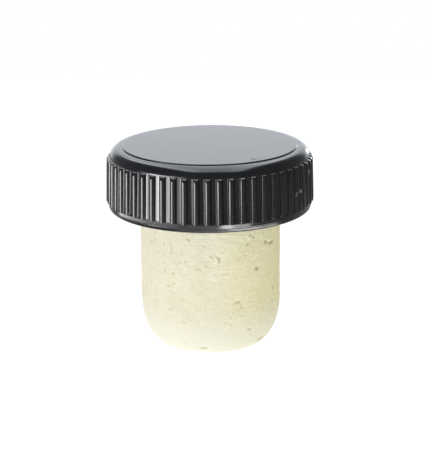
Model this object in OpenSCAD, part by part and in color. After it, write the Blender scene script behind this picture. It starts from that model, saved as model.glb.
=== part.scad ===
// Cork stopper: a short cork shank glued into a ribbed, moulded plastic cap.
// Millimetres, +Z up. The origin is the centre of the shank's flat lower end,
// so the stopper stands on its cork with the cap on top.

/* [Cork shank] */
// Diameter of the cork, which the bottle's neck takes
cork_d = 19.5; // [17:0.1:23]
// Length of cork that shows below the cap
shank_len = 19.3; // [14:0.1:30]
// Height of the rounded bevel at the lower end
bevel_h = 6.1; // [2:0.1:8]
// How far that bevel draws the lower end in, on the radius
bevel_w = 3.2; // [1:0.1:5]
// Small chamfer that leads the cork into the cap
lead_chamfer = 0.5; // [0.2:0.1:1]
// How far the socket squeezes the cork that it holds, on the radius
squeeze = 0.25; // [0.2:0.05:0.4]

/* [Cap] */
// How far the cap's bottom rim stands out past the cork
overhang = 4.3; // [3.4:0.01:6]
// Height from the cap's underside to its shoulder
shoulder_h = 8.65; // [7:0.05:14]
// Radius that rounds the shoulder
shoulder_r = 1.4; // [0.8:0.1:2]
// Height of the flat face that is raised above the shoulder
face_rise = 0.18; // [0.1:0.01:0.5]
// Width of the ledge between that face and the start of the shoulder
face_ledge = 0.26; // [0.1:0.01:0.4]
// Radius on the raised face's edge
face_edge_r = 0.08; // [0.04:0.01:0.1]
// Height of the smooth rim below the ribs
rim_h = 1.2; // [0.9:0.05:3]
// How far the rim stands out past the foot of the wall
rim_ledge = 0.05; // [0.03:0.01:0.3]
// Radius on the rim's lower edge
rim_edge_r = 0.4; // [0.1:0.05:0.6]
// Taper of the wall between the ribs, which frees the moulding from its tool
wall_draft = 2.3; // [2:0.1:3]

/* [Ribs] */
// Number of ribs around the cap
rib_count = 57; // [36:1:72]
// Radius of a rib's rounded section
rib_r = 0.43; // [0.25:0.01:0.55]
// How far a rib stands out of the wall at its foot
rib_rise = 0.38; // [0.25:0.01:0.6]
// Length of the ribs, up from the rim
rib_len = 6.1; // [3:0.1:6.5]
// Length of the rounded end in which a rib runs out on the wall
rib_nose = 0.45; // [0.3:0.05:0.8]
// Taper of the ribs, a little less than the wall's
rib_draft = 1.7; // [1:0.1:1.8]

/* [Underside] */
// Depth of the socket that holds the cork
socket_depth = 6.4; // [4:0.1:7]
// Glue gap around the cork in its socket, on the radius
glue_gap = 0.05; // [0.03:0.01:0.1]
// Wall of the collar around the socket
collar_wall = 1.2; // [0.9:0.1:1.6]
// Wall of the outer skirt, at the rim
skirt_wall = 1.55; // [1.2:0.01:1.9]
// Depth of the ring-shaped groove that lightens the moulding
groove_depth = 5; // [3:0.1:6]
// Radius in the groove's closed end
groove_end_r = 0.3; // [0.1:0.05:0.35]
// Room around the cork at the socket's chamfered mouth
mouth_room = 0.1; // [0.1:0.05:0.3]

/* [Hidden] */

// Steps in an arc of a profile, and sides of a turned form
arc_steps = 9;
bevel_steps = 14;
nose_steps = 3;
turn_fn = 96;
rib_fn = 24;

cork_r = cork_d / 2;
held_r = cork_r - squeeze;
cork_top = shank_len + socket_depth;
end_r = cork_r - bevel_w;

// The cap's underside lies at the top of the shank that shows
cap_z = shank_len;
rim_r = cork_r + overhang;
wall_foot_r = rim_r - rim_ledge;
shoulder_z = shoulder_h - shoulder_r;

socket_r = held_r + glue_gap;
groove_in_r = socket_r + collar_wall;
groove_out_r = rim_r - skirt_wall;

// Points along an arc, from angle a0 to a1; rx and ry differ on an oval one
function arc(cx, cy, rx, ry, a0, a1, steps) = [
    for (i = [0 : steps])
        let (a = a0 + (a1 - a0) * i / steps)
        [cx + rx * cos(a), cy + ry * sin(a)]
];

// Radius of the tapered wall between the ribs, at a height above the underside
function wall_r(z) = wall_foot_r - (z - rim_h) * tan(wall_draft);

// Centre of the shoulder's arc, which meets the tapered wall at a tangent
shoulder_cx = wall_r(shoulder_z + shoulder_r * sin(wall_draft))
    - shoulder_r * cos(wall_draft);
face_r = shoulder_cx - face_ledge;
face_h = shoulder_h + face_rise;

// Copies of a child around the axis, the first of them at the front (-Y)
module ring_of(count) {
    for (i = [0 : count - 1])
        rotate([0, 0, i * 360 / count - 90])
            children();
}

// Section of the cap's outer form, solid to the axis
module cap_outline() {
    polygon(concat(
        [[0, 0]],
        arc(rim_r - rim_edge_r, rim_edge_r, rim_edge_r, rim_edge_r, -90, 0, arc_steps),
        [[rim_r, rim_h], [wall_foot_r, rim_h]],
        arc(shoulder_cx, shoulder_z, shoulder_r, shoulder_r, wall_draft, 90, arc_steps),
        [[face_r, shoulder_h]],
        arc(face_r - face_edge_r, face_h - face_edge_r, face_edge_r, face_edge_r, 0, 90, 3),
        [[0, face_h]]
    ));
}

// Section of the socket, with its chamfered mouth; it starts below the underside
module socket_outline() {
    below = 1;
    mouth_r = cork_r + mouth_room;
    polygon([
        [0, -below],
        [mouth_r, -below],
        [mouth_r, 0],
        [socket_r, mouth_r - socket_r],
        [socket_r, socket_depth],
        [0, socket_depth]
    ]);
}

// Section of the lightening groove between the collar and the skirt
module groove_outline() {
    below = 1;
    end_z = groove_depth - groove_end_r;
    polygon(concat(
        [[groove_in_r, -below], [groove_out_r, -below]],
        arc(groove_out_r - groove_end_r, end_z, groove_end_r, groove_end_r, 0, 90, 4),
        arc(groove_in_r + groove_end_r, end_z, groove_end_r, groove_end_r, 90, 180, 4)
    ));
}

// One rib: a round bar that leans in as it rises, long enough to be trimmed
module rib_bar() {
    spare = 1;
    translate([wall_foot_r + rib_rise - rib_r / cos(rib_draft), 0, rim_h])
        rotate([0, -rib_draft, 0])
            translate([0, 0, -spare])
                cylinder(r = rib_r, h = rib_len + 2 * spare, $fn = rib_fn);
}

// Section that trims the ribs: square at the rim, and rounded off at their upper ends
module rib_trim_outline() {
    top_z = rim_h + rib_len;
    nose_z = top_z - rib_nose;
    crest_r = wall_foot_r + rib_rise - (nose_z - rim_h) * tan(rib_draft);
    inside = 0.1;
    spare = 1;
    nose_cx = wall_r(top_z) - inside;
    nose_w = crest_r + 0.03 - nose_cx;
    polygon(concat(
        [[0, rim_h], [wall_foot_r + rib_rise + spare, rim_h]],
        [[wall_foot_r + rib_rise + spare, nose_z]],
        arc(nose_cx, nose_z, nose_w, rib_nose, 0, 90, nose_steps),
        [[0, top_z]]
    ));
}

// All the ribs, trimmed to their length
module ribs() {
    intersection() {
        ring_of(rib_count) rib_bar();
        rotate_extrude($fn = turn_fn) rib_trim_outline();
    }
}

module cap() {
    color([0.09, 0.09, 0.095])
        translate([0, 0, cap_z])
            difference() {
                union() {
                    rotate_extrude($fn = turn_fn) cap_outline();
                    ribs();
                }
                rotate_extrude($fn = turn_fn) socket_outline();
                rotate_extrude($fn = turn_fn) groove_outline();
            }
}

module cork() {
    color([0.85, 0.78, 0.62])
        rotate_extrude($fn = turn_fn)
            polygon(concat(
                [[0, 0]],
                arc(end_r, bevel_h, bevel_w, bevel_h, -90, 0, bevel_steps),
                [
                    [cork_r, cap_z],
                    [held_r, cap_z + squeeze],
                    [held_r, cork_top - lead_chamfer],
                    [held_r - lead_chamfer, cork_top],
                    [0, cork_top]
                ]
            ));
}

cap();
cork();
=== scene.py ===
import math
import random

import bmesh
import bpy
from mathutils import Matrix, Vector, noise


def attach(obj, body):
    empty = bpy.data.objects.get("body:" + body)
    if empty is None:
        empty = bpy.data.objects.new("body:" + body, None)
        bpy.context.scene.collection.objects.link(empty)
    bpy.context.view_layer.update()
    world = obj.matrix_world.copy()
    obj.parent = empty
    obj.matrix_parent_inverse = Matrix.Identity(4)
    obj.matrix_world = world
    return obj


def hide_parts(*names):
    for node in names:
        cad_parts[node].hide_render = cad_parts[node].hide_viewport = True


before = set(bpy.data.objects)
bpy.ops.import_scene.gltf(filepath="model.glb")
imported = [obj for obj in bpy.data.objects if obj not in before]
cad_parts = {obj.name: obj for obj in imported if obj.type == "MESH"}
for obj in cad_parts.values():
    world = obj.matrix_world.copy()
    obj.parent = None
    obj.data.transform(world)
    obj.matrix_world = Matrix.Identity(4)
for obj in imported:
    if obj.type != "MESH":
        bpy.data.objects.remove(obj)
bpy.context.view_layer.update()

# All lengths are in millimetres until a piece is finished, which scales it to metres.
MM = 0.001

# Vertices nearer than the first are merged, and edges shorter than the second are taken out
MERGE_DIST = 0.0005
LEAST_EDGE = 0.0001
SHARP_ANGLE = math.radians(40)

# Cap: heights are above its underside, which lies at the top of the shank that shows. The
# shoulder's arc is counted from its start, in degrees.
CAP_Z = 19.3
WALL_FOOT_R = 13.98
WALL_FILLET_R = 0.07
WALL_FILLET_PARTS = (0.1, 0.3, 0.6)
WALL_DRAFT = math.radians(2.3)
SHOULDER_H = 8.65
SHOULDER_R = 1.4
SHOULDER_START = 1.3
SHOULDER_STEPS = 16

# The flat face, raised above a narrow ledge, and the rings that divide it
FACE_LEDGE = 0.26
FACE_RISE = 0.15
FACE_EDGE_R = 0.09
FACE_FOOT_BEVEL = 0.015
FACE_BORDER = 0.3
FACE_RINGS = (6, 1.2)

# The rim: an upper band, a fine groove and a lower band with a rounded edge. The groove's
# section is how far each point stands out of the lower band and above its deepest point.
RIM_R = 14.09
RIM_H = 1.2
RIM_TOP_R = 0.04
RIM_TOP_HOLD = 0.03
RIM_TOP_LEAN = 0.003
RIM_BAND_R = 14.05
RIM_BAND_LEAN = 0.02
RIM_GROOVE_H = 0.6
RIM_GROOVE = ((0.003, 0.085), (0, 0.05), (-0.035, 0), (-0.02, -0.05), (-0.024, -0.065))
RIM_EDGE_R = 0.48
RIM_EDGE_START = -8
RIM_EDGE_STEPS = 6

# Ribs: a rib stands out further at its top than at its foot, and ends in a rounded nose. No
# rib stands out as far as NO_LIMIT.
RIB_COUNT = 57
RIB_R = 0.43
RIB_RISE = 0.4
RIB_TOP_RISE = 0.46
RIB_LEN = 6.1
RIB_STEPS = 7
RIB_FILLET_R = 0.13
RIB_FILLET_STEPS = 4
RIB_NOSE = 0.6
NOSE_HOLD = 0.01
NOSE_STEPS = 6
NO_LIMIT = 1
PITCH = 2 * math.pi / RIB_COUNT

# Small scuffs on the cap, and one pale spot painted as a glint on the rim's right end: the angle
# from the front, radius, height, size and paleness of each
SCUFFS_AND_PAINTED_GLINT = (
    (61.4, 13.98, 3.8, 0.28, 1.0),
    (55.9, 14.2, 3.8, 0.24, 0.5),
    (54.9, 14.2, 3.45, 0.24, 0.7),
    (74.2, 13.98, 5.8, 0.3, 0.3),
    (74.2, 13.98, 5.4, 0.22, 0.3),
    (7.1, 14.28, 2.95, 0.13, 0.4),
    # A painted glint, not a scuff: a pale spot that stands for a highlight on the rim's right end
    (69, 14.36, 1.1, 0.35, 1.0),
    (33, 10.95, 8.8, 0.7, 0.0),
    (37, 11.0, 8.8, 0.55, 0.0),
)

# Underside of the cap
GROOVE_OUT_R = 12.5
GROOVE_IN_R = 10.75
GROOVE_DEPTH = 5.0
GROOVE_END_R = 0.3
GROOVE_END_STEPS = 3
GROOVE_CHAMFER = 0.1
MOUTH_R = 9.85
SOCKET_R = 9.55
SOCKET_DEPTH = 6.4

# Cork
CORK_R = 9.75
HELD_R = 9.5
CORK_TOP = 25.7
BEVEL_H = 6.1
BEVEL_W = 3.2
BEVEL_STEPS = 48
SHANK_STEPS = 84
SQUEEZE_H = 0.15
LEAD_CHAMFER = 0.5
CORK_SEGMENTS = 400
# Radii of the rings that divide the flat foot, and how far the last is inside its edge
FOOT_INNER_R = 1.0
FOOT_START_R = 3.0
FOOT_OUTER_R = 4.5
FOOT_BORDER = 0.5
# A shallow hollow at the front of the foot's edge: the angle and height of its middle on the
# skin, how deep it is, the height over which it fades out, and its radius
HOLLOW_ANGLE = -10
HOLLOW_Z = 0.05
HOLLOW_DEPTH = 0.14
HOLLOW_H = 0.8
HOLLOW_R = 1.5

# The skin's slow unevenness, as how often it waves and how far, coarse and fine. It is kept
# off the skin's ends, and grows to its full depth over the lowest part of the cork.
COARSE_WAVE = (0.35, 0.035)
FINE_WAVE = (1.3, 0.018)
SKIN_END = 0.02
SKIN_IN_R = 4
WAVE_GROWS_OVER = 1
# Half the height over which the skin's slope is taken
SLOPE_STEP = 0.05
# A mark is looked for out to this many times its half length or half width
MARK_REACH = 2.2
# Marks round the back and sides, which are drawn from a seeded series
MARK_SEED = 4
BACK_PITS = 64
BACK_PIT_DEPTH = 0.07
BACK_FLAKES = 18
BACK_FLAKE_WIDTH = 0.15
BACK_FLAKE_PALE = 0.4
BACK_FLAKE_RISE = 0.03

# Marks in the cork's skin. Each has an angle in degrees from the front, positive to the right,
# a height, half its length, half its width, the tilt of its length in degrees, the bend of
# that length, how dark it is and how deep.
PITS = (
    (-16.1, 17.1, 0.36, 0.12, -30, 0, 0.72, 0.07),
    (-50, 17.1, 0.14, 0.17, 0, 0, 0.36, 0.05),
    (-49.5, 16.3, 0.17, 0.17, 0, 0, 0.41, 0.05),
    (-54.5, 15.7, 0.26, 0.16, 0, 0, 0.45, 0.05),
    (-39, 16.1, 0.12, 0.24, 0, 0, 0.41, 0.05),
    (-31, 15.6, 0.16, 0.12, 0, 0, 0.36, 0.04),
    (-31.7, 15, 0.26, 0.12, 30, 0, 0.35, 0.04),
    (-22.3, 15.2, 0.17, 0.12, 0, 0, 0.27, 0.04),
    (-4.2, 16.4, 0.36, 0.1, -45, 0, 0.41, 0.05),
    (1.9, 14.8, 0.38, 0.09, -35, 0, 0.75, 0.07),
    (-18.7, 14, 0.16, 0.14, 0, 0, 0.41, 0.05),
    (-24.6, 13.8, 0.24, 0.12, 0, 0, 0.27, 0.04),
    (-38, 13.4, 0.17, 0.13, 0, 0, 0.32, 0.04),
    (-38, 12.4, 0.18, 0.13, 0, 0, 0.36, 0.04),
    (-29.6, 12.1, 0.19, 0.14, 0, 0, 0.68, 0.08),
    (-8.8, 13.1, 0.5, 0.12, -12, 0, 0.42, 0.05),
    (-2.4, 13.6, 0.18, 0.12, 0, 0, 0.54, 0.06),
    (-34.5, 10.2, 0.34, 0.11, 0, 0, 0.45, 0.05),
    (-30.4, 10.6, 0.14, 0.14, 0, 0, 0.41, 0.05),
    (-30, 9.2, 0.17, 0.12, 0, 0, 0.27, 0.04),
    (-21.9, 8.4, 0.17, 0.13, 0, 0, 0.32, 0.04),
    (-33.8, 6.8, 0.36, 0.12, 0, 0, 0.32, 0.04),
    (-17.7, 6.3, 0.18, 0.12, 0, 0, 0.32, 0.04),
    (-21.4, 5.3, 0.41, 0.1, -15, -0.5, 0.38, 0.04),
    (-9, 5.6, 0.18, 0.12, 0, 0, 0.32, 0.04),
    (-5.6, 1.3, 0.54, 0.13, 0, 0, 0.9, 0.06),
    (8, 14.4, 0.5, 0.12, 105, 0.8, 0.9, 0.1),
    (34.6, 17.3, 0.15, 0.15, 0, 0, 0.8, 0.06),
    (37.6, 17, 0.18, 0.16, 0, 0, 0.95, 0.07),
    (39.5, 17.4, 0.13, 0.13, 0, 0, 0.54, 0.05),
    (36.2, 16.8, 0.14, 0.1, 0, 0, 0.36, 0.04),
    (32, 16.1, 0.17, 0.13, 0, 0, 0.68, 0.06),
    (30.4, 14.6, 0.24, 0.1, 0, 0, 0.42, 0.05),
    (51.5, 15.8, 0.28, 0.2, -20, 0, 1.18, 0.11),
    (59, 15.4, 0.75, 0.16, 4, 0.3, 1.05, 0.09),
    (41, 12.4, 0.26, 0.2, -15, 0, 1.18, 0.12),
    (43.8, 12.6, 0.43, 0.11, 10, 0.9, 0.41, 0.06),
    (21, 11.7, 0.16, 0.12, 0, 0, 0.36, 0.04),
    (62.6, 8.7, 0.24, 0.16, 20, 0, 0.95, 0.07),
    (22.8, 8.1, 0.41, 0.13, 8, 0, 0.85, 0.07),
    (25.5, 7.8, 0.13, 0.13, 0, 0, 0.45, 0.05),
    (26.3, 7.3, 0.15, 0.15, 0, 0, 0.7, 0.06),
    (23.7, 7.1, 0.13, 0.13, 0, 0, 0.36, 0.04),
    (45.4, 7.7, 0.16, 0.12, 0, 0, 0.41, 0.05),
    (62, 6.9, 0.22, 0.14, 0, 0, 0.6, 0.05),
    (13.5, 5.3, 0.17, 0.12, 0, 0, 0.36, 0.04),
    (17.2, 4.9, 0.17, 0.12, 0, 0, 0.36, 0.04),
    (17.5, 6.1, 0.17, 0.12, 0, 0, 0.28, 0.04),
    (34.9, 3.8, 0.36, 0.12, 0, 0.9, 0.75, 0.07),
    (53.5, 1.4, 0.48, 0.2, 30, 0, 1.18, 0.16),
)
# Raised pale flakes, and pale spots painted as highlights on the lit lips of the pits beside
# them, with the same measures but how pale each is in place of how dark
FLAKES_AND_PAINTED_HIGHLIGHTS = (
    (-13.6, 17.1, 0.18, 0.14, 0, 0, 1.12, 0.07),
    (6, 14.4, 0.4, 0.14, 105, 0.8, 1.15, 0.084),
    (54.8, 16, 0.34, 0.14, -25, 0, 1.15, 0.084),
    (44.6, 12.9, 0.26, 0.2, 0, 0, 0.96, 0.056),
    (33.6, 16.9, 0.26, 0.12, 20, 0, 0.96, 0.056),
    (33.8, 15.9, 0.2, 0.1, 0, 0, 0.8, 0.042),
    (30.4, 14.9, 0.25, 0.1, 0, 0, 0.8, 0.042),
    (-27.6, 12.4, 0.2, 0.12, 0, 0, 0.64, 0.042),
    (-4.5, 16.8, 0.35, 0.12, -40, 0, 0.8, 0.042),
    (1.5, 15.1, 0.35, 0.11, -35, 0, 0.8, 0.042),
    (10.2, 12.8, 0.5, 0.2, -8, 0, 0.64, 0.042),
    (3.6, 11.6, 0.6, 0.16, -22, 0, 0.72, 0.042),
    (-1, 11.9, 0.4, 0.14, -30, 0, 0.56, 0.042),
    (24, 8.7, 0.45, 0.14, 0, 0, 0.8, 0.056),
    (-23.3, 6.1, 0.2, 0.14, 0, 0, 0.8, 0.042),
    (-22, 12.6, 0.35, 0.14, 0, 0, 0.48, 0.042),
    (17.5, 6.6, 0.2, 0.11, 0, 0, 0.64, 0.042),
    (34.9, 4.3, 0.24, 0.14, 0, 0, 0.8, 0.042),
)


# ---------------------------------------------------------------- mesh helpers

def new_object(name, data):
    """Adds an object to the scene for a mesh, a lamp or a camera."""
    made = bpy.data.objects.new(name, data)
    bpy.context.scene.collection.objects.link(made)
    return made


def verts_of(made):
    return [g for g in made if isinstance(g, bmesh.types.BMVert)]


def edges_of(made):
    return [g for g in made if isinstance(g, bmesh.types.BMEdge)]


def next_ring(bm, ring):
    """Extrudes a ring of edges in place, and returns the new ring's edges and vertices."""
    made = bmesh.ops.extrude_edge_only(bm, edges=ring)["geom"]
    verts = verts_of(made)
    grown = set(verts)
    edges = [e for e in edges_of(made) if e.verts[0] in grown and e.verts[1] in grown]
    return edges, verts


def set_round(verts, radius, height):
    """Moves a ring onto a circle, each vertex along its own radius."""
    for v in verts:
        across = math.hypot(v.co.x, v.co.y)
        v.co = (v.co.x * radius / across, v.co.y * radius / across, height)


def turn_path(bm, ring, path):
    """Grows a ring through a path of radius and height, and returns the last ring."""
    for radius, height in path:
        ring, verts = next_ring(bm, ring)
        set_round(verts, radius, height)
    return ring


def arc(centre_r, centre_z, radius, start, end, steps):
    """Points of radius and height along an arc between two angles in degrees, without its
    first point."""
    points = []
    for i in range(1, steps + 1):
        a = math.radians(start + (end - start) * i / steps)
        points.append((centre_r + radius * math.cos(a), centre_z + radius * math.sin(a)))
    return points


def close_ring(bm, ring, height):
    """Closes a ring with a disc of triangles that meet at the axis."""
    ring, verts = next_ring(bm, ring)
    bmesh.ops.pointmerge(bm, verts=verts, merge_co=(0, 0, height))


def finish_piece(bm, name, node, material, lift):
    """Makes the bmesh an object that stands for a node, in metres and in its place."""
    bmesh.ops.remove_doubles(bm, verts=bm.verts, dist=MERGE_DIST)
    bmesh.ops.dissolve_degenerate(bm, edges=bm.edges, dist=LEAST_EDGE)
    bmesh.ops.recalc_face_normals(bm, faces=bm.faces)
    bmesh.ops.translate(bm, verts=bm.verts, vec=(0, 0, lift))
    bmesh.ops.scale(bm, verts=bm.verts, vec=(MM, MM, MM))
    mesh = bpy.data.meshes.new(name)
    bm.to_mesh(mesh)
    bm.free()
    for face in mesh.polygons:
        face.use_smooth = True
    mesh.set_sharp_from_angle(angle=SHARP_ANGLE)
    mesh.materials.append(material)
    piece = new_object(name, mesh)
    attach(piece, "root")
    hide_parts(node)


# ---------------------------------------------------------------- cap

def wall_r(height):
    """Radius of the tapered wall between the ribs."""
    return WALL_FOOT_R - (height - RIM_H) * math.tan(WALL_DRAFT)


def half_rib(bm):
    """Half of one rib's section, drawn flat: from the middle of the valley, through the fillet
    at the rib's foot, to its crest."""
    centre_h = RIB_RISE - RIB_R
    reach = math.sqrt((RIB_R + RIB_FILLET_R) ** 2 - (RIB_FILLET_R - centre_h) ** 2)
    sweep = math.atan2(reach, RIB_FILLET_R - centre_h)
    axis = (0, 0, 1)
    valley = bm.verts.new((-PITCH * WALL_FOOT_R / 2, 0, 0))
    foot = bm.verts.new((-reach, 0, 0))
    bm.edges.new((valley, foot))
    made = bmesh.ops.spin(
        bm, geom=[foot], cent=(-reach, RIB_FILLET_R, 0), axis=axis,
        angle=sweep, steps=RIB_FILLET_STEPS,
    )
    side = verts_of(made["geom_last"])
    bmesh.ops.spin(
        bm, geom=side, cent=(0, centre_h, 0), axis=axis, angle=-sweep, steps=RIB_STEPS,
    )


def ribbed_ring(bm):
    """The whole ribbed section at the feet of the ribs, with the first rib at the front."""
    half_rib(bm)
    bmesh.ops.mirror(
        bm, geom=bm.verts[:] + bm.edges[:], matrix=Matrix.Identity(4),
        merge_dist=MERGE_DIST, axis="X",
    )
    # Wrap the flat section round the wall
    for v in bm.verts:
        a = v.co.x / WALL_FOOT_R
        r = WALL_FOOT_R + v.co.y
        v.co = (r * math.sin(a), -r * math.cos(a), RIM_H)
    bmesh.ops.spin(
        bm, geom=bm.verts[:] + bm.edges[:], cent=(0, 0, 0), axis=(0, 0, 1),
        angle=PITCH * (RIB_COUNT - 1), steps=RIB_COUNT - 1, use_duplicate=True,
    )
    bmesh.ops.remove_doubles(bm, verts=bm.verts, dist=MERGE_DIST)
    return bm.edges[:]


def set_ribbed(verts, height, rise, limit, flare):
    """Moves a ring of the ribbed section to a height. The ribs stand out no further than the
    limit, and the valleys no less than the flare. It reads the section at the ribs' feet."""
    for v in verts:
        a = math.atan2(v.co.x, -v.co.y)
        h = (math.hypot(v.co.x, v.co.y) - WALL_FOOT_R) * rise / RIB_RISE
        r = wall_r(height) + max(min(h, limit), flare)
        v.co = (r * math.sin(a), -r * math.cos(a), height)


def rib_steps():
    """The heights above the ribs' feet at which a ring is set, each with its limit and flare:
    up the fillet at the wall's foot, up the straight ribs, and round their noses."""
    body = RIB_LEN - RIB_NOSE
    steps = []
    for part in WALL_FILLET_PARTS:
        up = WALL_FILLET_R * part
        flare = WALL_FILLET_R - math.sqrt(WALL_FILLET_R ** 2 - (WALL_FILLET_R - up) ** 2)
        steps.append((up, NO_LIMIT, flare))
    for up in (WALL_FILLET_R, body / 2, body - NOSE_HOLD):
        steps.append((up, NO_LIMIT, 0))
    for i in range(NOSE_STEPS + 1):
        a = math.radians(90 * i / NOSE_STEPS)
        steps.append((body + RIB_NOSE * math.sin(a), RIB_TOP_RISE * math.cos(a), 0))
    return steps


def up_the_ribs(bm, ring):
    """Grows the ribs from their feet to their rounded ends. Each new ring is set from the
    section at the feet, which is carried up from the ring below."""
    home = {v: v.co.copy() for e in ring for v in e.verts}
    set_ribbed(home, RIM_H, RIB_RISE, NO_LIMIT, WALL_FILLET_R)
    for up, limit, flare in rib_steps():
        ring, verts = next_ring(bm, ring)
        above = {}
        for v in verts:
            below = next(e.other_vert(v) for e in v.link_edges if e.other_vert(v) in home)
            above[v] = home[below]
            v.co = above[v]
        home = above
        rise = RIB_RISE + (RIB_TOP_RISE - RIB_RISE) * up / RIB_LEN
        set_ribbed(verts, RIM_H + up, rise, limit, flare)
    return ring


def shoulder_and_face():
    """The path from the ribs' ends, up the wall above them and round the shoulder, to the
    raised face."""
    top = RIM_H + RIB_LEN
    shoulder_z = SHOULDER_H - SHOULDER_R
    shoulder_r = wall_r(shoulder_z + SHOULDER_R * math.sin(WALL_DRAFT))
    shoulder_cx = shoulder_r - SHOULDER_R * math.cos(WALL_DRAFT)
    face_r = shoulder_cx - FACE_LEDGE
    face_h = SHOULDER_H + FACE_RISE
    path = [(wall_r(top), top)]
    path += arc(shoulder_cx, shoulder_z, SHOULDER_R, SHOULDER_START, 90, SHOULDER_STEPS)
    path += [(face_r + FACE_FOOT_BEVEL, SHOULDER_H), (face_r, SHOULDER_H + FACE_FOOT_BEVEL)]
    path += [(face_r, face_h - FACE_EDGE_R)]
    path += arc(face_r - FACE_EDGE_R, face_h - FACE_EDGE_R, FACE_EDGE_R, 0, 90, 3)
    path += [(radius, face_h) for radius in (face_r - FACE_BORDER, *FACE_RINGS)]
    return path


def rim_and_underside():
    """The path from the ribs' feet, down the rim's two bands with the fine groove between them,
    and along the underside, through the groove that lightens it, to the socket's floor."""
    path = [(RIM_R - RIM_TOP_R, RIM_H)]
    path += arc(RIM_R - RIM_TOP_R, RIM_H - RIM_TOP_R, RIM_TOP_R, 90, 0, 2)
    path += [(RIM_R - RIM_TOP_LEAN, RIM_H - RIM_TOP_R - RIM_TOP_HOLD)]
    path += [(RIM_BAND_R + out, RIM_GROOVE_H + up) for out, up in RIM_GROOVE]
    edge_cx = RIM_BAND_R - RIM_EDGE_R - RIM_BAND_LEAN
    path += arc(edge_cx, RIM_EDGE_R, RIM_EDGE_R, RIM_EDGE_START, -90, RIM_EDGE_STEPS)

    out_cx = GROOVE_OUT_R - GROOVE_END_R
    in_cx = GROOVE_IN_R + GROOVE_END_R
    end_z = GROOVE_DEPTH - GROOVE_END_R
    path += [(GROOVE_OUT_R + GROOVE_CHAMFER, 0), (GROOVE_OUT_R, GROOVE_CHAMFER)]
    path += [(GROOVE_OUT_R, end_z)]
    path += arc(out_cx, end_z, GROOVE_END_R, 0, 90, GROOVE_END_STEPS)
    path += [(in_cx, GROOVE_DEPTH)]
    path += arc(in_cx, end_z, GROOVE_END_R, 90, 180, GROOVE_END_STEPS)
    path += [(GROOVE_IN_R, GROOVE_CHAMFER), (GROOVE_IN_R - GROOVE_CHAMFER, 0)]
    path += [(MOUTH_R, 0), (SOCKET_R, MOUTH_R - SOCKET_R), (SOCKET_R, SOCKET_DEPTH)]
    return path


def cap_shell():
    """The cap as one closed skin, grown up and down from the feet of the ribs."""
    bm = bmesh.new()
    foot = ribbed_ring(bm)
    ring = turn_path(bm, up_the_ribs(bm, foot), shoulder_and_face())
    close_ring(bm, ring, SHOULDER_H + FACE_RISE)
    ring = turn_path(bm, foot, rim_and_underside())
    close_ring(bm, ring, SOCKET_DEPTH)
    return bm


# ---------------------------------------------------------------- cork

def skin_r(height):
    """Radius of the cork's skin at a height."""
    if height >= BEVEL_H:
        return CORK_R
    drop = min((BEVEL_H - height) / BEVEL_H, 1)
    return CORK_R - BEVEL_W + BEVEL_W * math.sqrt(1 - drop * drop)


def skin_frame(angle, height):
    """The point of the skin at an angle and a height, with the ways along, up and out there."""
    a = math.radians(angle)
    out = Vector((math.sin(a), -math.cos(a), 0))
    along = Vector((math.cos(a), math.sin(a), 0))
    slope = skin_r(height + SLOPE_STEP) - skin_r(height - SLOPE_STEP)
    up = (out * slope + Vector((0, 0, 2 * SLOPE_STEP))).normalized()
    return out * skin_r(height) + Vector((0, 0, height)), along, up, along.cross(up)


def all_marks():
    """The marks round the front, and more of the same kinds round the back and sides. Each has
    a pit's measures up to how dark it is, then how pale it is and how far it rises."""
    marks = [(*pit[:7], 0, -pit[7]) for pit in PITS]
    marks += [(*flake[:6], 0, flake[6], flake[7]) for flake in FLAKES_AND_PAINTED_HIGHLIGHTS]
    chance = random.Random(MARK_SEED)
    for _ in range(BACK_PITS):
        angle = chance.uniform(72, 288)
        height = chance.uniform(1.5, 18.3)
        length = chance.choice((0.12, 0.14, 0.16, 0.3, 0.4))
        width = chance.uniform(0.08, 0.13)
        tilt = chance.uniform(-50, 50)
        bend = chance.choice((0, 0, 0.5, 0.9))
        dark = chance.uniform(0.3, 0.95)
        rise = -BACK_PIT_DEPTH * dark
        marks.append((angle, height, length, width, tilt, bend, dark, 0, rise))
    for _ in range(BACK_FLAKES):
        angle = chance.uniform(75, 285)
        length = chance.uniform(0.2, 0.6)
        height = chance.uniform(2, 18)
        shape = (angle, height, length, BACK_FLAKE_WIDTH, 0, 0)
        marks.append((*shape, 0, BACK_FLAKE_PALE, BACK_FLAKE_RISE))
    return marks


def hollow_foot(bm):
    """Presses the shallow hollow into the front of the foot's edge."""
    middle = skin_frame(HOLLOW_ANGLE, HOLLOW_Z)[0]
    for v in bm.verts:
        if v.co.z < HOLLOW_H:
            off = Vector((v.co.x - middle.x, v.co.y - middle.y)).length
            fade = math.exp(-((off / HOLLOW_R) ** 4))
            v.co.z += HOLLOW_DEPTH * (1 - v.co.z / HOLLOW_H) * fade


def uneven_skin(bm):
    """Makes the skin slightly uneven, and returns its points with their places before that, by
    their heights in whole millimetres."""
    bands = {}
    for v in bm.verts:
        across = math.hypot(v.co.x, v.co.y)
        if SKIN_END < v.co.z < CAP_Z - SKIN_END and across > SKIN_IN_R:
            bands.setdefault(round(v.co.z), []).append((v, v.co.copy()))
            grown = min(v.co.z, WAVE_GROWS_OVER)
            coarse = COARSE_WAVE[1] * noise.noise(v.co * COARSE_WAVE[0])
            fine = FINE_WAVE[1] * noise.noise(v.co * FINE_WAVE[0])
            shift = (coarse + fine) * grown / across
            v.co += Vector((v.co.x * shift, v.co.y * shift, 0))
    return bands


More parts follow.
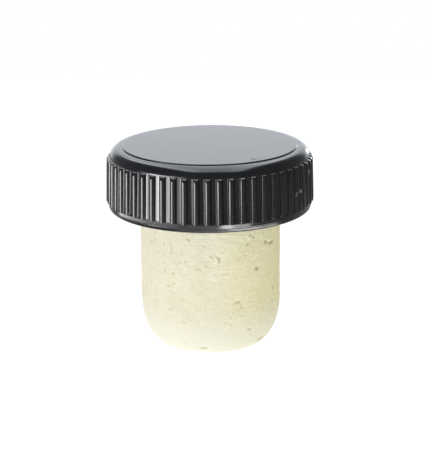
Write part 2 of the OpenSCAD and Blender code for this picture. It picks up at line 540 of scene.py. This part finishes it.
def mark_skin(bm):
    """Sets the marks in the cork's skin. Two layers keep how dark and how pale each point is,
    for the material."""
    dark_layer = bm.verts.layers.float.new("dark")
    pale_and_highlight_layer = bm.verts.layers.float.new("pale")
    bands = uneven_skin(bm)
    for angle, height, length, width, tilt, bend, dark, pale, rise in all_marks():
        centre, along, up, out = skin_frame(angle, height)
        t = math.radians(tilt)
        reach = MARK_REACH * max(length, width)
        for band in range(round(height - reach - 0.5), round(height + reach + 0.5) + 1):
            for v, home in bands.get(band, ()):
                off = home - centre
                if off.length > reach:
                    continue
                a = off.dot(along)
                b = off.dot(up)
                far = a * math.cos(t) + b * math.sin(t)
                wide = b * math.cos(t) - a * math.sin(t) - bend * far * far
                share = math.exp(-((far / length) ** 4) - (wide / width) ** 2)
                v[dark_layer] = max(v[dark_layer], dark * share)
                v[pale_and_highlight_layer] = max(v[pale_and_highlight_layer], pale * share)
                v.co += out * rise * share


def cork_body():
    """The cork as a turned form with its rounded lower end, and with marks in its skin."""
    bm = bmesh.new()
    bmesh.ops.create_circle(bm, cap_ends=False, segments=CORK_SEGMENTS, radius=FOOT_START_R)
    ring = bm.edges[:]
    close_ring(bm, turn_path(bm, ring, [(FOOT_INNER_R, 0)]), 0)
    end_r = CORK_R - BEVEL_W
    path = [(FOOT_OUTER_R, 0), (end_r - FOOT_BORDER, 0), (end_r, 0)]
    for i in range(1, BEVEL_STEPS + 1):
        a = math.radians(-90 + 90 * i / BEVEL_STEPS)
        path.append((end_r + BEVEL_W * math.cos(a), BEVEL_H + BEVEL_H * math.sin(a)))
    for i in range(1, SHANK_STEPS + 1):
        path.append((CORK_R, BEVEL_H + (CAP_Z - BEVEL_H) * i / SHANK_STEPS))
    path += [(HELD_R, CAP_Z + SQUEEZE_H), (HELD_R, CORK_TOP - LEAD_CHAMFER)]
    path += [(HELD_R - LEAD_CHAMFER, CORK_TOP)]
    close_ring(bm, turn_path(bm, ring, path), CORK_TOP)
    hollow_foot(bm)
    mark_skin(bm)
    return bm


# ---------------------------------------------------------------- material helpers

# Linear colours of the plastic and of the cork
PLASTIC_BLACK = (0.0095, 0.01, 0.0125, 1)
# Grey of the pale scuffs, also used for the painted glint on the cap's rim
SCUFF_AND_GLINT_GREY = (0.5, 0.5, 0.55, 1)
CORK_CREAM = (0.9, 0.853, 0.645, 1)
CORK_TAN = (0.855, 0.798, 0.575, 1)
CORK_SHADE = (0.795, 0.735, 0.51, 1)
# Painted shade: darker and warmer, for the cork's right side away from the lamps
CORK_SIDE_PAINTED_SHADE = (0.82, 0.755, 0.34, 1)
# Pale flakes, and painted highlights on the lit lips of the pits
CORK_FLAKE_AND_HIGHLIGHT = (0.97, 0.94, 0.75, 1)
# Painted light: paler, for the cork's lower end as if lit from below
CORK_FOOT_PAINTED_LIGHT = (0.91, 0.888, 0.745, 1)
# Painted light: a paler tone for the band just under the cap, where the cap's rim shades it
CORK_UNDER_CAP_PAINTED_LIGHT = (0.95, 0.91, 0.68, 1)
CORK_DARK = (0.3, 0.27, 0.03, 1)

# Refraction of the plastic, which sets how strong its gloss is
PLASTIC_IOR = 1.38
# How rough a scuff or the painted glint is, how far in it is at its worst, and the shine that it
# keeps
SCUFF_ROUGHNESS = 0.4
SCUFF_CORE = 0.3
SHINE = 0.5
SCUFF_SHINE = 0.2

# Where each of the cork's tones of painted light and shade starts and ends, in millimetres, and
# its share there
# Painted light: paler towards the cap, by height
UNDER_CAP_PAINTED_LIGHT = (14.5, 18.5, 0, 0.75)
# Painted shade: darker and warmer towards the right side, by the distance right of the axis
SIDE_PAINTED_SHADE = (0.2, 4.5, 0, 0.38)
# Painted light: paler towards the foot, by height
FOOT_PAINTED_LIGHT = (2.5, 8.5, 0.7, 0)
# The most that a pore and a mark take of the cork's colour
PORE_SHARE = 0.22
MARK_SHARE = 0.85


class Nodes:
    """The node tree of a material or a world, with short calls that add a node and its links."""

    def __init__(self, owner):
        owner.use_nodes = True
        self.tree = owner.node_tree

    def put(self, node, socket, value):
        """Sets an input, or links it if the value is another node's output."""
        if isinstance(value, bpy.types.NodeSocket):
            self.tree.links.new(value, node.inputs[socket])
        else:
            node.inputs[socket].default_value = value

    def add(self, kind, settings=None, **inputs):
        """Adds a node, with its inputs by name, where _ stands for a space."""
        node = self.tree.nodes.new(kind)
        for key, value in (settings or {}).items():
            setattr(node, key, value)
        for key, value in inputs.items():
            self.put(node, key.replace("_", " "), value)
        return node

    def take(self, kind, *values, **settings):
        """Adds a node, with its first inputs in their order, and returns its first output."""
        node = self.add(kind, settings)
        for socket, value in enumerate(values):
            self.put(node, socket, value)
        return node.outputs[0]

    def sums(self, operation, *values):
        return self.take("ShaderNodeMath", *values, operation=operation)

    def span(self, value, start, end, low, high):
        """Carries a value's range from start to end over to a range from low to high."""
        ends = (value, start, end, low, high)
        return self.take("ShaderNodeMapRange", *ends, interpolation_type="SMOOTHSTEP")

    def blend(self, share, first, second):
        """Mixes two colours. The numbers are the Mix node's sockets for colours."""
        node = self.add("ShaderNodeMix", {"data_type": "RGBA"})
        for socket, value in ((0, share), (6, first), (7, second)):
            self.put(node, socket, value)
        return node.outputs[2]


def black_plastic():
    """Black plastic with a satin gloss that varies a little, a very fine grain, scuffs, and a
    pale painted glint on the rim's right end.
    """
    material = bpy.data.materials.new("black_plastic")
    n = Nodes(material)
    shader = n.tree.nodes["Principled BSDF"]
    place = n.add("ShaderNodeTexCoord").outputs["Object"]
    haze = n.add("ShaderNodeTexNoise", Vector=place, Scale=260.0, Detail=5.0)
    satin = n.span(haze.outputs["Fac"], 0.0, 1.0, 0.13, 0.2)
    grain = n.add("ShaderNodeTexNoise", Vector=place, Scale=5200.0, Detail=3.0)
    bump = n.add("ShaderNodeBump", Height=grain.outputs["Fac"], Strength=0.05, Distance=0.03 * MM)
    n.put(shader, "Normal", bump.outputs["Normal"])
    n.put(shader, "IOR", PLASTIC_IOR)

    # How worn and how pale a point is: the most that any scuff or the painted glint makes it, in
    # a broken pattern
    broken = n.add("ShaderNodeTexNoise", Vector=place, Scale=3000.0, Detail=2.0)
    patchy = n.span(broken.outputs["Fac"], 0.4, 0.55, 0.3, 1)
    worn_and_glint = 0.0
    pale = 0.0
    for angle, radius, height, size, paleness in SCUFFS_AND_PAINTED_GLINT:
        far = n.add("ShaderNodeVectorMath", {"operation": "DISTANCE"})
        n.put(far, 0, place)
        n.put(far, 1, around(angle, radius, CAP_Z + height) * MM)
        near = n.span(far.outputs["Value"], size * MM, size * MM * SCUFF_CORE, 0, 1)
        near = n.sums("MULTIPLY", near, patchy)
        worn_and_glint = n.sums("MAXIMUM", near, worn_and_glint)
        pale = n.sums("MAXIMUM", n.sums("MULTIPLY", near, paleness), pale)
    n.put(shader, "Base Color", n.blend(pale, PLASTIC_BLACK, SCUFF_AND_GLINT_GREY))
    dull = n.sums("MULTIPLY", worn_and_glint, SCUFF_ROUGHNESS)
    n.put(shader, "Roughness", n.sums("MAXIMUM", dull, satin))
    n.put(shader, "Specular IOR Level", n.span(worn_and_glint, 0, 1, SHINE, SCUFF_SHINE))
    return material


def pale_cork():
    """Pale cream cork: soft patches, a fine level grain, small pores, and the dark and pale marks
    that the mesh carries, the pale ones partly painted highlights. Painted light makes it paler
    under the cap and at its foot, and painted shade makes its right side darker and warmer."""
    material = bpy.data.materials.new("pale_cork")
    n = Nodes(material)
    shader = n.tree.nodes["Principled BSDF"]
    place = n.add("ShaderNodeTexCoord").outputs["Object"]
    level = n.add("ShaderNodeMapping", Vector=place, Scale=(1, 1, 1.5)).outputs["Vector"]
    patches = n.add("ShaderNodeTexNoise", Vector=place, Scale=520.0, Detail=3.0, Roughness=0.55)
    grain = n.add("ShaderNodeTexNoise", Vector=level, Scale=1500.0, Detail=4.0, Roughness=0.6)
    pores = n.add("ShaderNodeTexVoronoi", Vector=level, Scale=1050.0)
    thin = n.add("ShaderNodeTexNoise", Vector=place, Scale=900.0, Detail=1.0)
    dark = n.add("ShaderNodeAttribute", {"attribute_name": "dark"}).outputs["Fac"]
    pale = n.add("ShaderNodeAttribute", {"attribute_name": "pale"}).outputs["Fac"]

    # A pore shows where a cell's middle falls in a thin place of the skin
    dot = n.span(pores.outputs["Distance"], 0.05, 0.2, 1, 0)
    few = n.span(thin.outputs["Fac"], 0.56, 0.66, 0, 1)
    pore = n.sums("MULTIPLY", dot, few)

    colour = n.blend(n.span(patches.outputs["Fac"], 0.3, 0.7, 0, 1), CORK_CREAM, CORK_TAN)
    colour = n.blend(n.span(grain.outputs["Fac"], 0.35, 0.72, 0, 0.5), colour, CORK_SHADE)
    side, _, height = n.add("ShaderNodeSeparateXYZ", Vector=place).outputs
    # Painted light and shade: paler under the cap, darker and warmer on the right side, paler at
    # the foot
    painted_tones = (
        (height, UNDER_CAP_PAINTED_LIGHT, CORK_UNDER_CAP_PAINTED_LIGHT),
        (side, SIDE_PAINTED_SHADE, CORK_SIDE_PAINTED_SHADE),
        (height, FOOT_PAINTED_LIGHT, CORK_FOOT_PAINTED_LIGHT),
    )
    for along, (start, end, low, high), tone in painted_tones:
        colour = n.blend(n.span(along, start * MM, end * MM, low, high), colour, tone)
    # Pores and dark marks are the cork's own; the pale marks are partly flakes and partly painted
    # highlights on the lit lips of pits
    spots = (
        (pore, PORE_SHARE, CORK_DARK),
        (pale, MARK_SHARE, CORK_FLAKE_AND_HIGHLIGHT),
        (dark, MARK_SHARE, CORK_DARK),
    )
    for spot, share, tone in spots:
        colour = n.blend(n.sums("MULTIPLY", spot, share), colour, tone)
    n.put(shader, "Base Color", colour)
    n.put(shader, "Roughness", n.span(grain.outputs["Fac"], 0.3, 0.7, 0.74, 0.92))

    folds = n.add("ShaderNodeTexNoise", Vector=level, Scale=700.0, Detail=2.0, Distortion=0.6)
    relief = n.sums("MULTIPLY_ADD", folds.outputs["Fac"], 0.9, grain.outputs["Fac"])
    relief = n.sums("MULTIPLY_ADD", pore, -0.6, relief)
    bump = n.add("ShaderNodeBump", Height=relief, Strength=1.0, Distance=0.13 * MM)
    n.put(shader, "Normal", bump.outputs["Normal"])
    return material


# ---------------------------------------------------------------- stage, light and camera

# The floor's half width, its own colour, and the glow that keeps it white for the camera and
# lights rough surfaces from below: its colour, its level and its share for each
FLOOR_HALF = 200
FLOOR_GREY = (0.85, 0.85, 0.85, 1)
GLOW_WHITE = (0.98, 1, 1.05, 1)
GLOW_LEVEL = 1.4
GLOW_FOR_CAMERA = 0.7
GLOW_FOR_ROUGH = 0.75

WHITE = (1, 1, 1, 1)
COOL_WHITE = (0.93, 0.975, 1.03, 1)
FILL_WHITE = (0.985, 1, 1.1)
# The soft box overhead, which only gloss shows. Its middle leans and is shifted a little to one
# side. A slope and an offset say how far a way lies past its side and past its front, and the
# box fades over a range of the two together.
BOX_LEAN = 0.15
BOX_SHIFT = -0.03
BOX_SIDE = (4.55, -1.137)
BOX_FRONT = (-3.03, -0.697)
BOX_FADE = (0.455, 1.0)
# Brightness of the box at the top of the sky, of its left and right flanks, and of the pale
# wall behind the object, low and high
BOX_TOP = 4.6
LEFT_FLANK = 3.6
RIGHT_FLANK = 2.2
WALL_DIM = 0.35
WALL_BRIGHT = 1.7
# Plain light for rough surfaces, at the left and at the right, where it is also warmer
PLAIN_LEFT = 0.64
PLAIN_RIGHT = 0.3
WARM_GREEN = 0.9
WARM_BLUE = 0.3

# Panels at the left, which only gloss shows: angle, distance, width and brightness of each
PANEL_Z = 16
PANEL_HEIGHT = 22
LEFT_PANELS = (
    ("left_glow", -50, 72, 70, 5),
    ("left_box", -52, 72, 34, 6.5),
    ("left_core", -53, 72, 26, 7),
    ("left_peak", -58, 72, 13, 10),
    ("left_slit", -38, 71, 4, 14),
)
# Pools of light on the floor: angle, distance, height, width, depth and brightness of each
FLOOR_POOLS = (
    ("far_left_pool", -92, 62, 0.5, 44, 30, 6),
    ("left_pool", -52, 68, 0.5, 64, 32, 4.5),
    ("front_pool", -6, 46, 0.5, 30, 40, 2),
    ("right_pool", 26, 46, 0.5, 30, 52, 11),
    ("far_right_pool", 50, 35, 0.5, 30, 24, 7),
    ("right_strip", 18, 54, 0.7, 10, 34, 14),
)

# Camera: its lens and film, its place and aim before it is turned round the object, and its roll
LENS = 108.95
FILM_WIDTH = 36
EYE = (0, -189.27, 71.85)
AIM = (0.306, 0, 15.254)
TURN = math.radians(1.17)
ROLL = math.radians(-0.467)


def around(angle, radius, height):
    """A point at an angle from the front, positive to the right."""
    a = math.radians(angle)
    return Vector((radius * math.sin(a), -radius * math.cos(a), height))


def pale_floor():
    """The floor, which keeps the object's shadow."""
    bm = bmesh.new()
    bmesh.ops.create_grid(bm, x_segments=1, y_segments=1, size=FLOOR_HALF * MM)
    mesh = bpy.data.meshes.new("floor")
    bm.to_mesh(mesh)
    bm.free()
    material = bpy.data.materials.new("pale_floor")
    n = Nodes(material)
    n.tree.nodes.clear()
    rays = n.add("ShaderNodeLightPath").outputs
    plain = n.take("ShaderNodeBsdfDiffuse", FLOOR_GREY)
    glow = n.take("ShaderNodeEmission", GLOW_WHITE, GLOW_LEVEL)
    rough = n.sums("MULTIPLY", rays["Is Diffuse Ray"], GLOW_FOR_ROUGH)
    share = n.sums("MULTIPLY_ADD", rays["Is Camera Ray"], GLOW_FOR_CAMERA, rough)
    surface = n.take("ShaderNodeMixShader", share, plain, glow)
    n.add("ShaderNodeOutputMaterial", Surface=surface)
    mesh.materials.append(material)
    floor = new_object("floor", mesh)


def studio_world():
    """White for the camera and plain light for rough surfaces. Gloss shows a soft box overhead,
    brighter along its two sides, and the pale wall behind the object."""
    world = bpy.data.worlds.new("studio")
    bpy.context.scene.world = world
    n = Nodes(world)
    n.tree.nodes.clear()
    way = n.add("ShaderNodeTexCoord").outputs["Generated"]
    x, y, z = n.add("ShaderNodeSeparateXYZ", Vector=way).outputs

    leaning = n.sums("MULTIPLY_ADD", y, BOX_LEAN, x)
    aside = n.sums("ABSOLUTE", n.sums("ADD", leaning, BOX_SHIFT))
    # How far a way lies out past the box's middle, with rounded corners
    past_side = n.sums("MAXIMUM", n.sums("MULTIPLY_ADD", aside, *BOX_SIDE), 0.0)
    past_front = n.sums("MAXIMUM", n.sums("MULTIPLY_ADD", y, *BOX_FRONT), 0.0)
    squares = n.sums("ADD", n.sums("POWER", past_side, 2.0), n.sums("POWER", past_front, 2.0))
    inside = n.span(n.sums("SQRT", squares), *BOX_FADE, 1, 0)
    flanks = n.sums("MULTIPLY", n.span(aside, 0.12, 0.32, 0, 1), n.span(z, 0.42, 0.64, 0, 1))
    flanks = n.sums("MULTIPLY", flanks, n.span(x, -0.3, 0.3, LEFT_FLANK, RIGHT_FLANK))
    height = n.take("ShaderNodeMapRange", z, 0.3, 1.0, 0.0, BOX_TOP)
    box = n.sums("MULTIPLY", inside, n.sums("ADD", height, flanks))
    wall = n.span(y, 0.74, 0.9, WALL_DIM, WALL_BRIGHT)

    rays = n.add("ShaderNodeLightPath").outputs
    green = n.span(x, 0, 0.9, 1, WARM_GREEN)
    blue = n.span(x, 0, 0.9, 1, WARM_BLUE)
    tint = n.take("ShaderNodeCombineColor", 1, green, blue)
    level = n.span(x, -0.2, 0.9, PLAIN_LEFT, PLAIN_RIGHT)
    plain = n.take("ShaderNodeBackground", tint, level)
    gloss = n.take("ShaderNodeBackground", COOL_WHITE, n.sums("ADD", box, wall))
    white = n.take("ShaderNodeBackground", WHITE, 1.0)
    lit = n.take("ShaderNodeMixShader", rays["Is Glossy Ray"], plain, gloss)
    seen = n.take("ShaderNodeMixShader", rays["Is Camera Ray"], lit, white)
    n.add("ShaderNodeOutputWorld", Surface=seen)


def panel_lamp(name, place, aim_z, width, height, brightness, gloss=True, rough=True):
    """A flat soft lamp that faces the object's axis, sized in millimetres. Its brightness is
    that of its surface. Gloss and rough say which surfaces it lights."""
    data = bpy.data.lights.new(name, "AREA")
    data.shape = "RECTANGLE"
    data.size = width * MM
    data.size_y = height * MM
    data.energy = brightness * math.pi * data.size * data.size_y
    lamp = new_object(name, data)
    lamp.location = place * MM
    way = (Vector((0, 0, aim_z)) - place).normalized()
    lamp.rotation_euler = way.to_track_quat("-Z", "Y").to_euler()
    lamp.visible_camera = False
    lamp.visible_glossy = gloss
    lamp.visible_diffuse = rough
    return lamp


def floor_pool(name, place, width, depth, brightness):
    """A pool of light on the floor, which only gloss shows."""
    lamp = panel_lamp(name, place, place.z, width, depth, brightness, rough=False)
    lamp.rotation_euler = (math.pi, 0, math.atan2(place.y, place.x) + math.pi / 2)


def studio_lamps():
    """The panels and pools that only gloss shows, and one wide lamp for rough surfaces."""
    for name, angle, far, width, brightness in LEFT_PANELS:
        place = around(angle, far, PANEL_Z)
        panel_lamp(name, place, PANEL_Z, width, PANEL_HEIGHT, brightness, rough=False)
    for name, angle, far, height, width, depth, brightness in FLOOR_POOLS:
        floor_pool(name, around(angle, far, height), width, depth, brightness)
    panel_lamp("back_strip", around(151, 90, 28), 27, 9, 16, 7, rough=False)
    fill = panel_lamp("left_fill", around(-36, 320, 60), CAP_Z + 4, 200, 200, 0.95, gloss=False)
    fill.data.color = FILL_WHITE


def studio_camera():
    """The camera, which looks down a little from the front."""
    data = bpy.data.cameras.new("camera")
    data.lens = LENS
    data.sensor_width = FILM_WIDTH
    data.clip_start = 0.01
    data.clip_end = 20
    camera = new_object("camera", data)
    turn = Matrix.Rotation(TURN, 3, "Z")
    eye = turn @ Vector(EYE)
    aim = turn @ Vector(AIM)
    view = (aim - eye).to_track_quat("-Z", "Y").to_matrix()
    camera.location = eye * MM
    camera.rotation_euler = (view @ Matrix.Rotation(ROLL, 3, "Z")).to_euler()
    bpy.context.scene.camera = camera


bpy.context.scene.view_settings.view_transform = "Standard"
pale_floor()
studio_world()
studio_camera()
studio_lamps()

finish_piece(cap_shell(), "moulded_cap", "cap", black_plastic(), CAP_Z)
finish_piece(cork_body(), "cork_shank", "cork", pale_cork(), 0)
